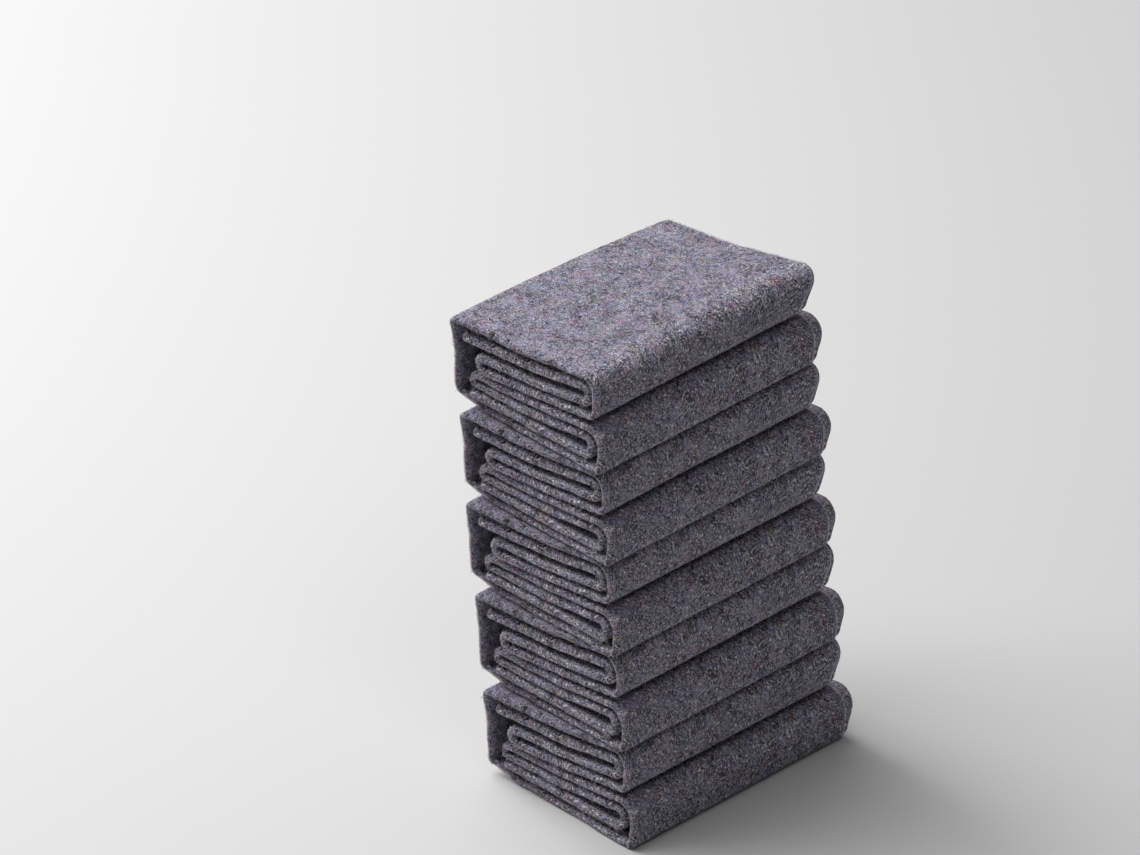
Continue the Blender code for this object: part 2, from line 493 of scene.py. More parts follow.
@dataclass
class Blanket:
    """One folded blanket of the stack, in millimetres.

    Args:
        node: the solid that it stands for.
        press: the share that its height is pressed to.
        sink: the share of its height that it loses at the far end of its spine.
        crown: how high its top face is crowned.
        flare: how far its upper roll's shoulder flares out at the far end.
        base: height of its foot above the floor.
        lying: whether it lies on another blanket.
        fineness: how finely its sheet is divided.
        seed: picks its own unevenness.
        ply_fill: the share of the strip's thickness that its plies fill.
        inner_short: how far its inner plies end short of the folded length.
        cut_short: how far the inner cut edge ends short of them.
        outer_lift: how much the outer ply bulges outwards.
        tuft_reach: where a tuft of stray fibres starts and ends by the lower inner turn's foot.
    """

    node: str
    press: float
    sink: float
    crown: float
    flare: float
    base: float
    lying: bool
    fineness: Fineness
    seed: int
    ply_fill: float = 0.86
    inner_short: float = 0.5
    cut_short: float = 1.2
    outer_lift: float = 0.15
    tuft_reach: tuple[float, float] = (-6.0, 10.0)
    points: Array = field(init=False)
    half_ply: Array = field(init=False)
    flat: Array = field(init=False)
    plies: Array = field(init=False)
    fold_points: int = field(init=False)
    shown_rows: tuple[int, int] = field(init=False)
    tuft_rows: tuple[int, int] = field(init=False)

    def fold(self) -> None:
        """Work out where every point of the sheet lies once it is folded."""
        coarser, step = self.fineness.value
        strip = FoldedStrip(self.lying, coarser)
        across_fold = PlyFold(step)
        reach, ahead, offset, plies = across_fold.columns()
        plies = plies.astype(int)
        run, thick, set_back = strip.length, strip.thick, strip.set_back
        for wave in THICKNESS:
            thick = thick * (1 + wave.down(run, self.seed))
        for wave in FRONT:
            set_back = set_back + wave.down(run, self.seed)
        half = self.ply_fill * thick / 8
        front = thick * 3 / 8 + half
        end = self._ply_ends(strip, half, thick)[plies].T
        along = front[:, None] * (1 - reach) + end * reach + ahead * thick[:, None]
        shift = offset * thick[:, None] + self._unevenness(run, along, plies, reach)
        slant = strip.heading[:, None]
        across = strip.across[:, None] - shift * np.sin(slant)
        height = strip.height[:, None] + shift * np.cos(slant)
        self.points = self._settled(np.stack([across, along, height]), set_back[:, None], strip)
        self.half_ply = np.repeat(half[:, None], len(reach), axis=1)
        self.plies, self.fold_points = plies, across_fold.turn_points
        marks = [strip.middles[name] for name in ("upper roll, foot", "lower roll, shoulder")]
        self.shown_rows = tuple(int(np.searchsorted(run, mark)) for mark in marks)
        turn = strip.middles["lower inner turn, foot"]
        self.tuft_rows = tuple(int(np.searchsorted(run, turn + aside)) for aside in self.tuft_reach)
        self.flat = np.stack(
            np.meshgrid(run * MM, across_fold.sheet_run() * MM, indexing="ij"), axis=-1
        )

    def _ply_ends(self, strip: FoldedStrip, half: Array, thick: Array) -> Array:
        """How far each ply reaches at the far end.

        Args:
            strip: the strip's middle line.
            half: half of one ply's thickness at each point of the line.
            thick: the strip's thickness there.

        Returns:
            The reaches in millimetres, a row for each ply.
        """
        run = strip.length
        inner = FOLDED_LENGTH - self.inner_short + INNER_END.down(run, self.seed)
        cut = inner - self.cut_short + CUT_END.down(run, self.seed)
        outer = inner - strip.stagger + OUTER_END.down(run, self.seed)
        fold = inner - thick / 8 - half
        return np.stack([cut, fold, fold, outer])

    def _unevenness(self, run: Array, along: Array, plies: Array, reach: Array) -> Array:
        """Small irregular shifts of the cloth along the strip's normal.

        Args:
            run: places along the strip, in millimetres.
            along: places from its front edge, a row for each place along it.
            plies: the ply of each point across the sheet.
            reach: how far each of them is to the far end, as a share.

        Returns:
            The shifts in millimetres.
        """
        rows = run[:, None] + 0 * along
        outer = (plies == Ply.OUTER.value) * np.minimum(1.0, reach * 30)
        lumps = self.outer_lift
        for wave in LUMPS:
            lumps = lumps + wave.over(rows, along, self.seed)
        return SWAY.over(rows, 0.6 * along, self.seed) + outer * lumps

    def _settled(self, spots: Array, set_back: Array, strip: FoldedStrip) -> Array:
        """Place the folded strip in the row frame, settled as the solids are.

        Args:
            spots: millimetres from the spine, from the strip's front edge and above its foot.
            set_back: how far the strip's front edge stands back, in millimetres.
            strip: its middle line.

        Returns:
            Points in metres, in the row frame.
        """
        across, along, height = spots
        share = along / FOLDED_LENGTH
        rise = (height / FOLDED_HEIGHT) ** 4
        outward = np.clip(across / FOLDED_WIDTH, 0, None) ** 2 * rise
        along = along + set_back * (1 - (1 - FAR_FOLLOWS) * share)
        beyond = strip.beyond[:, None] + self.flare * outward
        along = along + np.clip(share, 0, None) ** 3 * beyond
        settled = share**2 * np.clip(1 - across / FOLDED_WIDTH, 0, None)
        crown = self.crown * np.sin(math.pi * np.clip(share, 0, 1)) * rise
        crown = crown * np.sin(math.pi * np.clip(across / FOLDED_WIDTH, 0, 1))
        height = height * self.press * (1 - self.sink * settled) + crown
        low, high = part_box(self.node)
        return np.stack(
            [
                high[0] + (across - ROLL_FACE + FAR_TUCK * settled) * MM,
                low[1] + (along - FAR_TRIM * settled) * MM,
                (height + self.base) * MM,
            ],
            axis=-1,
        )

    def build(self, finish: "Felt") -> bpy.types.Object:
        """Make the blanket's sheet and dress it.

        Args:
            finish: the felt that it is made of.

        Returns:
            The finished piece.
        """
        self.fold()
        rows, columns = self.points.shape[:2]
        cloth = bmesh.new()
        cloth.loops.layers.uv.new("flat")
        bmesh.ops.create_grid(cloth, x_segments=rows - 1, y_segments=columns - 1, size=0.5)
        mesh = as_mesh(cloth, self.node + "_felt")
        spots = read_values(mesh.vertices, "co", 3)
        row = np.rint((spots[:, 0] + 0.5) * (rows - 1)).astype(int)
        column = np.rint((spots[:, 1] + 0.5) * (columns - 1)).astype(int)
        mesh.vertices.foreach_set("co", self.points[row, column].astype(np.float32).ravel())
        corners = read_values(mesh.loops, "vertex_index")
        flat = self.flat[row[corners], column[corners]]
        mesh.uv_layers["flat"].data.foreach_set("uv", flat.astype(np.float32).ravel())
        mesh.shade_smooth()
        mesh.materials.append(finish.material())
        piece = in_scene(mesh.name, mesh)
        loft = piece.vertex_groups.new(name="loft")
        most = float(self.half_ply.max())
        weights = np.round(self.half_ply[row, column] / most, 2)
        for weight in np.unique(weights):
            loft.add(np.flatnonzero(weights == weight).tolist(), float(weight), "REPLACE")
        plump = piece.modifiers.new("ply", "SOLIDIFY")
        plump.thickness = 2 * most * MM
        plump.offset = 0.0
        plump.vertex_group = loft.name
        plump.use_rim = True
        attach(piece, BODY)
        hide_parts(self.node)
        return piece


@dataclass(frozen=True)
class Mark:
    """A spot or line of other fibres, and in one case of painted highlight, at one place of the felt, in
    millimetres on the flat sheet.

    run is its place along the strip and over its place across the strip's four plies; tall is how
    far it reaches along the strip each way and wide how far across it.
    """

    name: str
    run: float
    over: float
    tall: float
    wide: float
    colour: str
    strength: float


# Spots where dyed fibres lie together
BLOTS = (
    Mark("navy on the upper shoulder", 609, 1223, 6, 8, "#39406e", 0.75),
    Mark("rust on the upper shoulder", 605, 1357, 8, 10, "#93493c", 0.55),
    Mark("green beside the rust", 598, 1338, 7, 9, "#40624e", 0.6),
    Mark("red on the lower roll", 1180, 1330, 5, 5, "#8c2f3f", 0.7),
    Mark("dark red at the lower roll's end", 1158, 1387, 8, 4.5, "#7d2233", 0.85),
    Mark("olive at the lower roll's foot", 1149, 1058, 7, 8, "#5f6440", 0.7),
    Mark("blue at the lower roll's foot", 1143, 1152, 5, 6, "#3c4b7c", 0.7),
    Mark("pink at the lower roll's foot", 1149, 1273, 6, 6, "#a0586e", 0.6),
    Mark("pale pink on the lower roll", 1163, 1185, 4, 5, "#cdb4bb", 0.6),
    Mark("dark tuft on the top", 666, 1199, 2.6, 3.2, "#17202c", 0.95),
    Mark("pink on the top's far half", 773, 1231, 5, 7, "#b0606c", 0.6),
    Mark("red on the top's near half", 662, 1171, 4, 6, "#b04f5e", 0.65),
    Mark("red by the shoulder", 640, 1150, 5, 5, "#98525c", 0.5),
    Mark("plum on the upper roll's front", 590, 1100, 9, 12, "#6a4560", 0.45),
    Mark("orange on the second band", 53, 1048, 2.6, 2.6, "#c08038", 0.9),
    Mark("purple on the third band", 337, 1049, 7, 9, "#423c70", 0.7),
    Mark("pink on the top's front", 769, 1069, 6, 9, "#a46670", 0.5),
    Mark("white tuft at the roll's foot", 630, 1054, 2.2, 4.5, "#ece8ec", 0.9),
    Mark("blue on the top's front", 700, 1085, 9, 12, "#5d6288", 0.4),
)

# Colours of the dyed patches, each from this share of the patches on
DYES = {
    0.00: "#39406a",
    0.18: "#834a55",
    0.28: "#5a6654",
    0.36: "#96708a",
    0.48: "#4a4e80",
    0.62: "#93645a",
    0.68: "#25242f",
    0.78: "#aaa6ba",
    0.88: "#7f7a66",
    0.94: "#64456a",
}


@dataclass(frozen=True)
class Streaks:
    """Fibres of one lie in the felt: direction in degrees, length and breadth in millimetres."""

    turn: float
    length: float
    breadth: float


@dataclass(frozen=True)
class Tufts:
    """Patches of dyed fibre: their spacing in millimetres, greatest strength and shift."""

    spacing: float
    strength: float
    shift: float


@dataclass(frozen=True)
class Noise:
    """Irregular spots on the flat sheet: their size in millimetres, and how finely they break up."""

    size: float
    detail: float = 1.0
    roughness: float = 0.5

    def settings(self) -> Settings:
        """The settings of a noise texture."""
        scale = 1 / (self.size * MM)
        fineness = {"Detail": self.detail, "Roughness": self.roughness}
        return {"noise_dimensions": "2D", "Scale": scale} | fineness


@dataclass(frozen=True)
class Ease:
    """A smooth change from a first to a last value while another value goes from low to high."""

    low: float
    high: float
    first: float
    last: float

    def settings(self) -> Settings:
        """The settings of a range that is mapped onto another."""
        return {"interpolation_type": "SMOOTHSTEP", 1: self.low, 2: self.high, 3: self.first, 4: self.last}


@dataclass
class Felt:
    """Needle-punched felt of shredded textiles: matt, fuzzy, and flecked with its many fibres.

    The fibres are about 0.02 mm thick, so they are drawn as strands about 1 mm broad, the least
    that shows.

    Args:
        dark: the darkest colour of its mixed ground.
        pale: the palest colour of its mixed ground.
        contrast: how the grain goes from dark to pale.
        pale_lies: how the ground's pale fibres lie.
        dark_lies: how the dark gaps between them lie.
        spots: the ground's fine grain, its mottling and its broad uneven shade.
        weights: how much the pale fibres, the dark ones and each of the spots count.
        sway: how the fibres wander off their lie.
        swayed: how far they wander, in millimetres.
        cast: the broad patches where navy, green-grey or plum fibres are the more common.
        tint: how strongly each of their colours varies.
        untinted: each colour's least value there.
        tufts: its patches of dyed fibre.
        cover: how thick dyed fibres lie at a place, from the thin noise.
        thin: the noise that thins them out.
        curl: the colour of the white curled fibres.
        curls: the spacing in millimetres of the white curls' loops.
        curl_breadth: how broad a curl is drawn, in millimetres.
        kept: the noise that cuts the loops into curls.
        kept_share: which of its values keep a curl.
        flecks: how the short white flecks lie.
        fleck_share: which of the strands' values are a fleck.
        onto_top: how strongly white fibres show, from the upper roll onto the top band.
        past_spine: how much more strongly they show again past the spine.
        speck: the colour of the dark specks.
        speck_noise: how the specks lie.
        speck_share: which of that noise's values are a speck.
        edges: its paler lines: lint on the outer ply's cut edge, and a painted rim highlight down the
            spine's corner.
        relief: how strong the grain's relief is.
        depth: the relief's depth in millimetres.
    """

    dark: str = "#292733"
    pale: str = "#928fa1"
    contrast: Ease = Ease(0.44, 0.567, 0.0, 1.0)
    pale_lies: tuple[Streaks, ...] = (
        Streaks(14, 5.0, 0.8),
        Streaks(72, 4.4, 0.8),
        Streaks(-44, 4.8, 0.8),
    )
    dark_lies: tuple[Streaks, ...] = (Streaks(-12, 4.4, 0.8), Streaks(50, 4.0, 0.8))
    spots: tuple[Noise, ...] = (Noise(1.25, 0.0), Noise(8.0, 2.0, 0.6), Noise(27.0))
    weights: tuple[float, ...] = (0.75, 0.75, 1.1, 1.1, 0.55)
    sway: Noise = Noise(5.5)
    swayed: float = 5.0
    cast: Noise = Noise(19.0, 2.0, 0.6)
    tint: tuple[float, float, float] = (0.6, 0.36, 0.66)
    untinted: tuple[float, float, float] = (0.7, 0.81, 0.68)
    tufts: tuple[Tufts, ...] = (Tufts(12, 0.42, 0.0), Tufts(7.5, 0.5, 0.37), Tufts(5.0, 0.5, 0.71))
    cover: Ease = Ease(0.35, 0.6, 0.5, 1.0)
    thin: Noise = Noise(1.5)
    curl: str = "#e6e3e8"
    curls: tuple[float, ...] = (8.0, 6.0)
    curl_breadth: float = 0.55
    kept: Noise = Noise(3.6)
    kept_share: Ease = Ease(0.56, 0.66, 0.0, 1.0)
    flecks: tuple[Streaks, ...] = (Streaks(24, 3.2, 0.8), Streaks(-62, 2.8, 0.8))
    fleck_share: Ease = Ease(0.67, 0.74, 0.0, 0.9)
    onto_top: Ease = Ease((TOP_BAND[0] - 30) * MM, (TOP_BAND[0] + 15) * MM, 1.0, 0.45)
    past_spine: Ease = Ease((TOP_BAND[1] + 110) * MM, (TOP_BAND[1] + 160) * MM, 0.0, 0.55)
    speck: str = "#15151b"
    speck_noise: Noise = Noise(2.1, 0.0)
    speck_share: Ease = Ease(0.24, 0.33, 0.85, 0.0)
    edges: tuple[Mark, ...] = (
        Mark("lint on the cut edge", 915, 1404.4, 1000, 3.4, "#d2cfd8", 0.8),
        # Painted rim highlight: light catching the fuzz down the spine's front corner, painted as a pale
        # pinkish line
        Mark("painted rim highlight on the spine's corner", 876, 1053.2, 60, 2.7, "#cfbcc2", 0.9),
    )
    relief: float = 0.8
    depth: float = 1.2
    made: bpy.types.Material | None = None
    tree: bpy.types.NodeTree = field(init=False)
    flat: Socket = field(init=False)
    bent: Socket = field(init=False)
    covered: Socket = field(init=False)
    white: Socket = field(init=False)
    grain: Socket = field(init=False)

    def material(self) -> bpy.types.Material:
        """The felt's material, made once and shared.

        Returns:
            The material.
        """
        if self.made is None:
            self.made = self._make()
        return self.made

    def _make(self) -> bpy.types.Material:
        """Build the material.

        Returns:
            The material, on the sheet's own flat UV map.
        """
        # Felt scatters light among its loose fibres: no highlight, and a faint paler rim
        inputs = {"Roughness": 0.95, "Specular IOR Level": 0.1, "Sheen Weight": 0.12, "Sheen Roughness": 0.5}
        material = principled("needle_felt", inputs)
        self.tree = material.node_tree
        self.flat = self._add("ShaderNodeUVMap", {"uv_map": "flat"}, {})
        sway = self._add("ShaderNodeTexNoise", self.sway.settings(), {"Vector": self.flat}, "Color")
        sway = self._add("ShaderNodeVectorMath", {"operation": "SUBTRACT", 1: (0.5, 0.5, 0.5)}, {0: sway})
        settings = {"operation": "MULTIPLY_ADD", 1: (self.swayed * MM, self.swayed * MM, 0.0)}
        self.bent = self._add("ShaderNodeVectorMath", settings, {0: sway, 2: self.flat})
        thin = self._add("ShaderNodeTexNoise", self.thin.settings(), {"Vector": self.bent})
        self.covered = self._add("ShaderNodeMapRange", self.cover.settings(), {0: thin})
        place = self._add("ShaderNodeSeparateXYZ", {}, {0: self.flat})
        onto = self._add("ShaderNodeMapRange", self.onto_top.settings(), {0: place})
        past = self._add("ShaderNodeMapRange", self.past_spine.settings(), {0: place})
        self.white = self._add("ShaderNodeMath", {"operation": "ADD"}, {0: onto, 1: past})
        self.grain = self._grain()

        share = self._add("ShaderNodeMapRange", self.contrast.settings(), {0: self.grain})
        settings = {"data_type": "RGBA", 6: linear(self.dark), 7: linear(self.pale)}
        colour = self._add("ShaderNodeMix", settings, {0: share}, 2)
        cast = self._add("ShaderNodeTexNoise", self.cast.settings(), {"Vector": self.flat}, "Color")
        settings = {"operation": "MULTIPLY_ADD", 1: self.tint, 2: self.untinted}
        cast = self._add("ShaderNodeVectorMath", settings, {0: cast})
        colour = self._add("ShaderNodeVectorMath", {"operation": "MULTIPLY"}, {0: colour, 1: cast})
        for tufts in self.tufts:
            colour = self._dyed(tufts, colour)
        for blot in BLOTS:
            colour = self._blotted(blot, colour)
        for spacing in self.curls:
            colour = self._curled(spacing, colour)
        for fleck in self.flecks:
            strands = self._strands((fleck,), "MAXIMUM")
            share = self._add("ShaderNodeMapRange", self.fleck_share.settings(), {0: strands})
            colour = self._laid("white flecks", self.curl, colour, share, self.white)
        specks = self._add("ShaderNodeTexNoise", self.speck_noise.settings(), {"Vector": self.flat})
        specks = self._add("ShaderNodeMapRange", self.speck_share.settings(), {0: specks})
        colour = self._laid("dark specks", self.speck, colour, specks)
        # Pale lines: real lint on the outer ply's cut edge, and a painted rim highlight down the spine's
        # corner
        for edge in self.edges:
            colour = self._lint_and_rim_highlight(edge, place, colour)

        settings = {"Strength": self.relief, "Distance": self.depth * MM}
        relief = self._add("ShaderNodeBump", settings, {"Height": self.grain})
        shader = self.tree.nodes["Principled BSDF"]
        self.tree.links.new(colour, shader.inputs["Base Color"])
        self.tree.links.new(relief, shader.inputs["Normal"])
        return material

    def _add(
        self, kind: str, settings: Settings, links: dict[str | int, Socket], output: str | int = 0
    ) -> Socket:
        """Add a node with its settings and links.

        Args:
            kind: the node's type name.
            settings: properties by name, or input values by number or name.
            links: output sockets by the name or number of the input that they feed.
            output: which of the new node's outputs is wanted.

        Returns:
            The wanted output.
        """
        node = self.tree.nodes.new(kind)
        for name, value in settings.items():
            if isinstance(name, str) and hasattr(node, name):
                setattr(node, name, value)
            else:
                node.inputs[name].default_value = value
        for place, source in links.items():
            self.tree.links.new(source, node.inputs[place])
        return node.outputs[output]

    def _laid(self, name: str, paint: str | Socket, colour: Socket, *shares: Socket) -> Socket:
        """Lay another colour over the colour so far.

        Args:
            name: what the other colour is.
            paint: the other colour, in hex or as an output.
            colour: the colour so far.
            shares: how much of it shows, to be multiplied.

        Returns:
            The two colours mixed.
        """
        share = shares[0]
        for other in shares[1:]:
            share = self._add("ShaderNodeMath", {"operation": "MULTIPLY"}, {0: share, 1: other})
        settings = {"data_type": "RGBA", "label": name}
        links = {0: share, 6: colour}
        if isinstance(paint, str):
            settings[7] = linear(paint)
        else:
            links[7] = paint
        return self._add("ShaderNodeMix", settings, links, 2)

    def _grain(self) -> Socket:
        """The ground's mixed fibres, from dark at 0 to pale at 1.

        Returns:
            The grain's value.
        """
        layers = [self._strands(self.pale_lies, "MAXIMUM"), self._strands(self.dark_lies, "MINIMUM")]
        for noise, place in zip(self.spots, (self.flat, self.bent, self.flat)):
            layers.append(self._add("ShaderNodeTexNoise", noise.settings(), {"Vector": place}))
        settings = {"operation": "MULTIPLY", 1: self.weights[0]}
        mixed = self._add("ShaderNodeMath", settings, {0: layers[0]})
        for weight, layer in zip(self.weights[1:], layers[1:]):
            settings = {"operation": "MULTIPLY_ADD", 1: weight}
            mixed = self._add("ShaderNodeMath", settings, {0: layer, 2: mixed})
        settings = {"operation": "DIVIDE", 1: sum(self.weights)}
        return self._add("ShaderNodeMath", settings, {0: mixed})

    def _strands(self, lies: tuple[Streaks, ...], crossing: str) -> Socket:
        """Long narrow grains in several directions.

        Args:
            lies: how they lie.
            crossing: which of two strands shows where they cross, as a math operation.

        Returns:
            The strands' value.
        """
        top = None
        for lie in lies:
            settings = {
                "Rotation": (0.0, 0.0, math.radians(lie.turn)),
                "Scale": (1 / (lie.length * MM), 1 / (lie.breadth * MM), 1.0),
            }
            turned = self._add("ShaderNodeMapping", settings, {"Vector": self.bent})
            settings = {"noise_dimensions": "2D", "Scale": 1.0, "Detail": 1.0}
            strands = self._add("ShaderNodeTexNoise", settings, {"Vector": turned})
            if top is not None:
                strands = self._add("ShaderNodeMath", {"operation": crossing}, {0: top, 1: strands})
            top = strands
        return top

    def _dyed(self, tufts: Tufts, colour: Socket) -> Socket:
        """Patches of dyed fibre, soft at their edges, over the colour so far.

        Args:
            tufts: how the patches are spaced and how strong they are.
            colour: the colour so far.

        Returns:
            The colour with the patches.
        """
        settings = {"operation": "ADD", 1: (tufts.shift, 0.6 * tufts.shift, 0.0)}
        moved = self._add("ShaderNodeVectorMath", settings, {0: self.bent})
        settings = {"voronoi_dimensions": "2D", "Scale": 1 / (tufts.spacing * MM)}
        away = self._add("ShaderNodeTexVoronoi", settings, {"Vector": moved}, "Distance")
        kind = self._add("ShaderNodeSeparateColor", {}, {0: away.node.outputs["Color"]})
        dye = self._add("ShaderNodeValToRGB", {}, {"Fac": kind})
        ramp = dye.node.color_ramp
        ramp.interpolation = "CONSTANT"
        for number, (start, paint) in enumerate(DYES.items()):
            step = ramp.elements[number] if number < 2 else ramp.elements.new(start)
            step.position = start
            step.color = linear(paint)
        core = self._add("ShaderNodeMapRange", Ease(0.1, 0.55, 1.0, 0.0).settings(), {0: away})
        chosen = Ease(0.2, 1.0, 0.0, tufts.strength).settings()
        chosen = self._add("ShaderNodeMapRange", chosen, {0: kind.node.outputs[1]})
        return self._laid("dyed patches", dye, colour, core, chosen, self.covered)

    def _blotted(self, blot: Mark, colour: Socket) -> Socket:
        """One blot over the colour so far.

        Args:
            blot: where it is and what it looks like.
            colour: the colour so far.

        Returns:
            The colour with the blot.
        """
        settings = {
            "vector_type": "TEXTURE",
            "Location": (blot.run * MM, blot.over * MM, 0.0),
            "Scale": (blot.tall * MM, blot.wide * MM, 1.0),
        }
        placed = self._add("ShaderNodeMapping", settings, {"Vector": self.bent})
        away = self._add("ShaderNodeVectorMath", {"operation": "LENGTH"}, {0: placed}, "Value")
        core = Ease(0.0, 1.25, 0.85 * blot.strength, 0.0).settings()
        core = self._add("ShaderNodeMapRange", core, {0: away})
        return self._laid(blot.name, blot.colour, colour, core, self.covered)

    def _curled(self, spacing: float, colour: Socket) -> Socket:
        """White curled fibres, drawn as short stretches of the swayed borders between cells.

        Args:
            spacing: distance between the loops, in millimetres.
            colour: the colour so far.

        Returns:
            The colour with the curls.
        """
        settings = {"operation": "ADD", 1: (0.1 * spacing, 0.17 * spacing, 0.0)}
        moved = self._add("ShaderNodeVectorMath", settings, {0: self.bent})
        settings = {
            "voronoi_dimensions": "2D",
            "feature": "DISTANCE_TO_EDGE",
            "Scale": 1 / (spacing * MM),
        }
        off = self._add("ShaderNodeTexVoronoi", settings, {"Vector": moved}, "Distance")
        breadth = self.curl_breadth / spacing
        line = Ease(0.3 * breadth, breadth, 0.95, 0.0).settings()
        line = self._add("ShaderNodeMapRange", line, {0: off})
        kept = self._add("ShaderNodeTexNoise", self.kept.settings(), {"Vector": moved})
        kept = self._add("ShaderNodeMapRange", self.kept_share.settings(), {0: kept})
        return self._laid("white curls", self.curl, colour, line, kept, self.white)

    def _lint_and_rim_highlight(self, edge: Mark, place: Socket, colour: Socket) -> Socket:
        """A paler line over the colour so far: lint on a cut edge, painted rim highlight on the spine's
        corner.

        Args:
            edge: where it is and what it looks like.
            place: the place along the strip on the flat sheet, with the place over it beside it.
            colour: the colour so far.

        Returns:
            The colour with the line.
        """
        shares = []
        ways = ((edge.run, edge.tall, 0.9), (edge.over, edge.wide, 0.3))
        for output, (middle, reach, core) in enumerate(ways):
            settings = {"operation": "SUBTRACT", 1: middle * MM}
            off = self._add("ShaderNodeMath", settings, {0: place.node.outputs[output]})
            off = self._add("ShaderNodeMath", {"operation": "ABSOLUTE"}, {0: off})
            near = Ease(core * reach * MM, reach * MM, 1.0, 0.0).settings()
            shares.append(self._add("ShaderNodeMapRange", near, {0: off}))
        # Paler where the grain is paler: lint on the cut edge, painted rim highlight on the spine's corner
        lint = Ease(0.44, 0.56, 0.3, edge.strength).settings()
        shares.append(self._add("ShaderNodeMapRange", lint, {0: self.grain}))
        return self._laid(edge.name, edge.colour, colour, *shares)


class Dye(Enum):
    """Colours of the stray fibres, each with the share of the fibres that have it."""

    WHITE = ("#d9d6dc", 0.42)
    GREY = ("#9a97a4", 0.34)
    CHARCOAL = ("#2b2a33", 0.14)
    NAVY = ("#3b4474", 0.05)
    RED = ("#8c4450", 0.05)


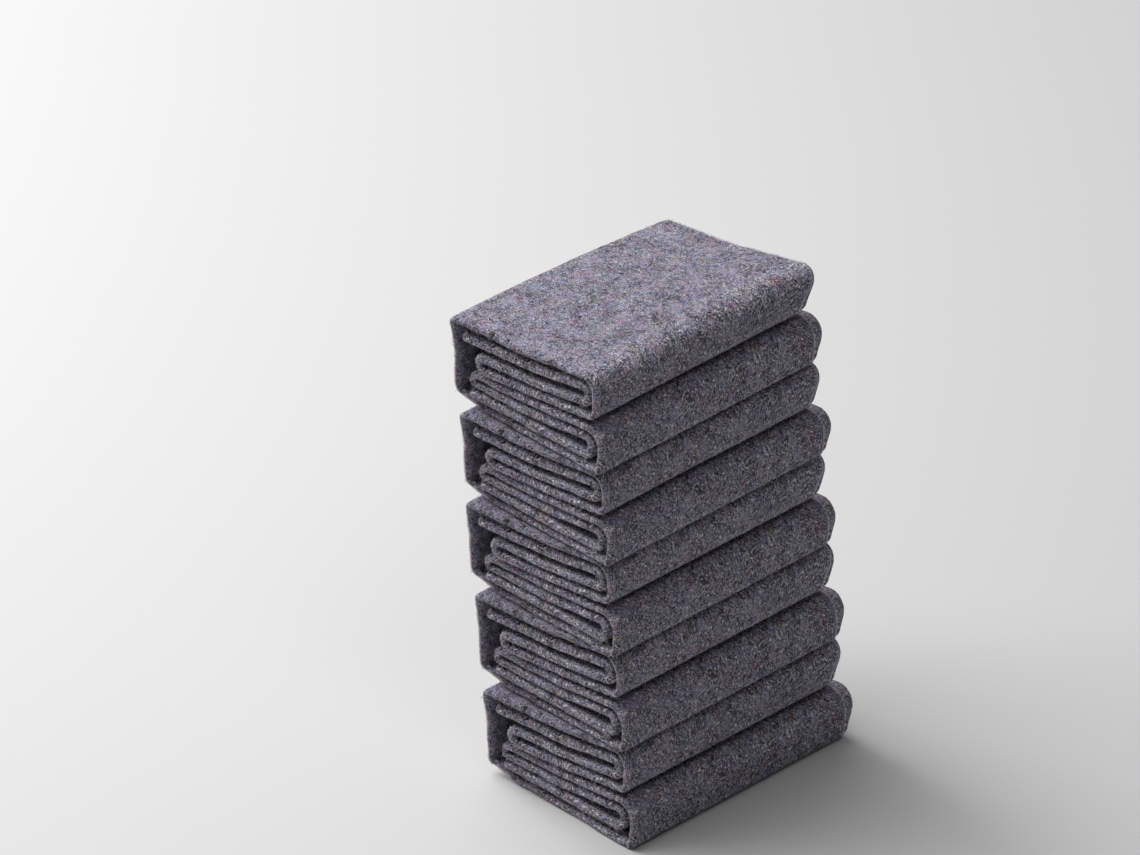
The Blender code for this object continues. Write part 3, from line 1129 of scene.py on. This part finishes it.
@dataclass
class StrayFibres:
    """Loose fibres that stand off one blanket's folds and lie curled on its faces, in millimetres.

    The real ones are about 0.02 mm thick. They are drawn as thick as they need to be to show.

    Args:
        blanket: the blanket that they are rooted in, already folded.
        doublings: how often the first fibre is doubled, so 2 to this power is their number.
        spacing: distance between the fibres before they are laid, in breadths.
        breadth: how thick a fibre is drawn.
        lengths: the shortest and the longest fibre.
        standing: the length of one that stands off a fold, as a share.
        tufted: which share of them stand in a tuft.
        folded: up to which share they are rooted on the front folds.
        ended: up to which share they are rooted there or at the far end; the rest lie on faces.
        flat_lift: how steeply those on faces rise, least and most.
        free_lift: how steeply the others rise.
        bows: how much they bend, least and most.
        rooted: how deep below the cloth's face they start.
        root: their breadth at the root, as a share.
        taper: how much of that they lose up to the tip.
        floor_gap: how far they keep off the floor at least.
    """

    blanket: Blanket
    doublings: int = 11
    spacing: float = 4.0
    breadth: float = 0.45
    lengths: tuple[float, float] = (3.0, 8.5)
    standing: float = 0.62
    tufted: float = 0.03
    folded: float = 0.45
    ended: float = 0.6
    flat_lift: tuple[float, float] = (0.02, 0.22)
    free_lift: tuple[float, float] = (0.15, 1.1)
    bows: tuple[float, float] = (0.3, 1.3)
    rooted: float = 0.25
    root: float = 1.15
    taper: float = 0.75
    floor_gap: float = 0.1

    def build(self) -> bpy.types.Object:
        """Make the fibres as one piece.

        Returns:
            The finished piece.
        """
        mesh = self._copies(self.blanket.node + "_stray_fibres")
        count = 2**self.doublings
        spots = read_values(mesh.vertices, "co", 3)
        number = np.rint(spots[:, 0] / self.spacing).astype(int)
        corner = spots[:, :2] - np.stack([number * self.spacing, 0 * number], axis=1)
        ring = spots[:, 2] + 0.5
        roots, lean, side, length, bow = self._laid(count)
        ahead = ring[:, None] * length[number, None]
        arch = (ring * (1 - ring))[:, None] * bow[number, None] * length[number, None]
        middle = roots[number] + lean[number] * ahead + side[number] * arch
        third = np.cross(lean, side)
        aside = side[number] * corner[:, :1] + third[number] * corner[:, 1:]
        placed = middle + aside * self.breadth * MM * (self.root - self.taper * ring[:, None])
        placed[:, 2] = np.maximum(placed[:, 2], self.floor_gap * MM)
        mesh.vertices.foreach_set("co", placed.astype(np.float32).ravel())
        first = read_values(mesh.polygons, "loop_start")
        corners = read_values(mesh.loops, "vertex_index")
        rng = np.random.default_rng(self.blanket.seed + 60)
        shares = np.array([dye.value[1] for dye in Dye])
        kinds = rng.choice(len(shares), count, p=shares / shares.sum())
        mesh.polygons.foreach_set("material_index", kinds[number[corners[first]]].astype(np.int32))
        for dye in Dye:
            mesh.materials.append(self._dyed(dye))
        mesh.shade_smooth()
        piece = in_scene(mesh.name, mesh)
        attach(piece, BODY)
        return piece

    def _copies(self, name: str) -> bpy.types.Mesh:
        """Make one straight fibre of three rings and double it until there are enough.

        Args:
            name: the mesh's name.

        Returns:
            The mesh, with the fibres side by side along X.
        """
        fibre = bmesh.new()
        bmesh.ops.create_cone(fibre, cap_ends=True, segments=3, radius1=0.5, radius2=0.5, depth=1.0)
        whole = fibre.edges[:] + fibre.faces[:]
        bmesh.ops.bisect_plane(fibre, geom=whole, plane_co=(0, 0, 0), plane_no=(0, 0, 1))
        for turn in range(self.doublings):
            made = bmesh.ops.duplicate(fibre, geom=fibre.verts[:] + fibre.edges[:] + fibre.faces[:])
            verts = [v for v in made["geom"] if isinstance(v, bmesh.types.BMVert)]
            bmesh.ops.translate(fibre, vec=(self.spacing * 2**turn, 0, 0), verts=verts)
        return as_mesh(fibre, name)

    def _laid(self, count: int) -> tuple[Array, ...]:
        """Choose where each fibre is rooted and how it lies.

        Args:
            count: how many fibres there are.

        Returns:
            Roots in metres, directions, sideways directions, lengths in metres and bows.
        """
        rng = np.random.default_rng(self.blanket.seed + 50)
        row, column, flatness, tuft = self._chosen(rng, count)
        points = self.blanket.points
        down_row = np.clip(row + 1, 0, points.shape[0] - 1)
        next_column = np.clip(column + 1, 0, points.shape[1] - 1)
        share = rng.uniform(0, 1, (2, count, 1))
        here = points[row, column]
        along_strip = points[down_row, column] - here
        over_strip = points[row, next_column] - here
        root = here + along_strip * share[0] + over_strip * share[1]
        outward = -self._unit(np.cross(along_strip, over_strip))
        root = root + outward * (self.blanket.half_ply[row, column] - self.rooted)[:, None] * MM
        sweep = rng.uniform(0, 2 * math.pi, count)[:, None]
        flat_way = self._unit(along_strip) * np.cos(sweep) + self._unit(over_strip) * np.sin(sweep)
        low_lift, high_lift = rng.uniform(*self.flat_lift, count), rng.uniform(*self.free_lift, count)
        lift = np.where(flatness, low_lift, high_lift)
        lean = self._unit(flat_way + outward * lift[:, None])
        side = self._unit(np.cross(lean, outward))
        length = rng.uniform(*self.lengths, count) * MM
        length = np.where(flatness | tuft, length, self.standing * length)
        bow = rng.uniform(*self.bows, count) * rng.choice((-1, 1), count)
        return root, lean, side, length, bow

    def _chosen(self, rng: np.random.Generator, count: int) -> tuple[Array, ...]:
        """Choose where the roots are: on the front folds, at the far end or on faces.

        Some of those at the front stand as a tuft in the lower inner turn.

        Args:
            rng: the blanket's own random numbers.
            count: how many fibres there are.

        Returns:
            Rows, columns, whether a fibre lies on a face, and whether it is in the tuft.
        """
        blanket = self.blanket
        outer = np.flatnonzero(blanket.plies == Ply.OUTER.value)
        turned = np.flatnonzero(blanket.plies == Ply.TURNED.value)
        fold = outer[: blanket.fold_points]
        place = rng.uniform(0, 1, count)
        front_row = rng.integers(0, len(blanket.points) - 1, count)
        face_row = rng.integers(*blanket.shown_rows, count)
        front_column = rng.choice(fold, count)
        far_column = rng.choice(np.concatenate([outer[-3:-1], turned[: blanket.fold_points]]), count)
        face_column = rng.choice(outer[blanket.fold_points : -1], count)
        row = np.where(place < self.ended, front_row, face_row)
        row = np.where(place < self.tufted, rng.integers(*blanket.tuft_rows, count), row)
        end_column = np.where(place < self.folded, front_column, far_column)
        column = np.where(place < self.ended, end_column, face_column)
        return row, column, place >= self.ended, place < self.tufted

    @staticmethod
    def _unit(vectors: Array) -> Array:
        """The vectors at length one."""
        return vectors / np.maximum(np.linalg.norm(vectors, axis=-1, keepdims=True), 1e-12)

    @staticmethod
    def _dyed(dye: Dye) -> bpy.types.Material:
        """The plain material of the fibres of one colour, made once.

        Args:
            dye: the colour.

        Returns:
            The material.
        """
        # Single fibres: matt, with a little more shine than felt, so that they part from it
        name = "loose_fibre_" + dye.name.lower()
        inputs = {"Base Color": linear(dye.value[0]), "Roughness": 0.8, "Specular IOR Level": 0.2}
        return bpy.data.materials.get(name) or principled(name, inputs)


@dataclass(frozen=True)
class Lamp:
    """A square soft light that faces the stack: its place and size in metres, its power in watts."""

    name: str
    place: tuple[float, float, float]
    size: float
    power: float

    def build(self, target: Vector) -> None:
        """Make the light.

        Args:
            target: the place that it faces.
        """
        data = bpy.data.lights.new(self.name, "AREA")
        data.shape = "SQUARE"
        data.size = self.size
        data.energy = self.power
        lamp = in_scene(self.name, data)
        lamp.location = self.place
        lamp.rotation_euler = (target - Vector(self.place)).to_track_quat("-Z", "Y").to_euler()


@dataclass(frozen=True)
class Studio:
    """The floor, the soft lights and the camera at the photograph's angle.

    The frame, the corner's pixel and the scale are the photograph's. The corner is the front of the
    top blanket's spine, corner_height millimetres above that blanket's foot. The lens is very long,
    as the photograph has hardly any perspective. Lengths are in metres, the lens's in millimetres.
    """

    frame: tuple[float, float] = (1140.0, 855.0)
    corner_pixel: tuple[float, float] = (450.0, 317.0)
    corner_height: float = 122.0
    pixels_per_metre: float = 900.9
    azimuth: float = math.radians(44.4)
    elevation: float = math.radians(30.7)
    lens: float = 1000.0
    sensor: float = 36.0
    floor_reach: float = 15.0
    floor_colour: str = "#c8c8c8"
    target: tuple[float, float, float] = (0.0, 0.0, 0.3)
    lamps: tuple[Lamp, ...] = (
        Lamp("key", (-1.9, -0.85, 4.5), 4.2, 278.0),
        Lamp("side", (-4.6, -0.2, 1.4), 2.4, 190.0),
        Lamp("fill", (2.2, -1.2, 4.2), 1.6, 23.0),
    )
    world_strength: float = 0.09

    def camera(self, corner: Vector) -> bpy.types.Object:
        """Make the scene's camera.

        Args:
            corner: the front corner at the top of the top blanket's spine, in metres.

        Returns:
            The camera.
        """
        a, e = self.azimuth, self.elevation
        back = Vector((math.sin(a) * math.cos(e), -math.cos(a) * math.cos(e), math.sin(e)))
        right = Vector((math.cos(a), math.sin(a), 0.0))
        up = back.cross(right)
        away = [(f / 2 - c) / self.pixels_per_metre for f, c in zip(self.frame, self.corner_pixel)]
        distance = self.frame[0] * self.lens / self.sensor / self.pixels_per_metre
        data = bpy.data.cameras.new("camera")
        data.lens = self.lens
        data.sensor_width = self.sensor
        data.clip_end = 100.0
        rig = in_scene("camera", data)
        rig.location = corner + right * away[0] - up * away[1] + back * distance
        rig.rotation_euler = back.to_track_quat("Z", "Y").to_euler()
        bpy.context.scene.camera = rig
        return rig

    def floor(self) -> bpy.types.Object:
        """Lay the plain pale floor.

        Returns:
            The floor.
        """
        plane = bmesh.new()
        bmesh.ops.create_grid(plane, x_segments=1, y_segments=1, size=self.floor_reach)
        mesh = as_mesh(plane, "floor")
        # Matt paper: it gives the eye only a soft shadow and no reflection of the stack
        inputs = {"Base Color": linear(self.floor_colour), "Roughness": 0.9}
        mesh.materials.append(principled("floor_paper", inputs))
        floor = in_scene("floor", mesh)
        return floor

    def build(self, corner: Vector) -> None:
        """Make the whole studio round the stack.

        Args:
            corner: the front corner at the top of the top blanket's spine, in metres.
        """
        self.floor()
        self.camera(corner)
        for lamp in self.lamps:
            lamp.build(Vector(self.target))
        world = bpy.data.worlds.new("studio")
        world.use_nodes = True
        sky = world.node_tree.nodes["Background"]
        sky.inputs["Color"].default_value = linear("#ffffff")
        sky.inputs["Strength"].default_value = self.world_strength
        bpy.context.scene.world = world
        bpy.context.scene.view_settings.view_transform = "Standard"


def stack() -> list[Blanket]:
    """The five blankets from the lowest up, each laid on the one below.

    Returns:
        The blankets, with their bases worked out.
    """
    pressed = (
        ("blanket_1", 1.0, 0.03, 0.0, 0.0, Fineness.COVERED),
        ("blanket_2", 1.02, 0.03, 0.0, 0.0, Fineness.COVERED),
        ("blanket_3", 0.985, 0.03, 0.0, 0.0, Fineness.COVERED),
        ("blanket_4", 0.965, 0.03, 0.0, 0.0, Fineness.COVERED),
        ("blanket_5", 1.015, 0.08, 2.5, 8.0, Fineness.SHOWN),
    )
    base = 0.0
    blankets = []
    for number, (node, press, sink, crown, flare, fineness) in enumerate(pressed):
        lying, seed = number > 0, 100 * number + 7
        blankets.append(Blanket(node, press, sink, crown, flare, base, lying, fineness, seed))
        base += press * FOLDED_HEIGHT + LAYING_GAP
    return blankets


def main() -> None:
    """Build the studio and the blankets, and log the size of each sheet and of its loose fibres."""
    logging.basicConfig(level=logging.INFO, format="%(message)s")
    low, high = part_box("blanket_5")
    studio = Studio()
    corner = Vector((high[0] - ROLL_FACE * MM, low[1], low[2] + studio.corner_height * MM))
    studio.build(corner)
    felt = Felt()
    for blanket in stack():
        piece = blanket.build(felt)
        loose = StrayFibres(blanket).build()
        LOG.info("%s: %d points in the sheet", piece.name, len(piece.data.vertices))
        LOG.info("%s: %d faces", loose.name, len(loose.data.polygons))


if __name__ == "__main__":
    main()
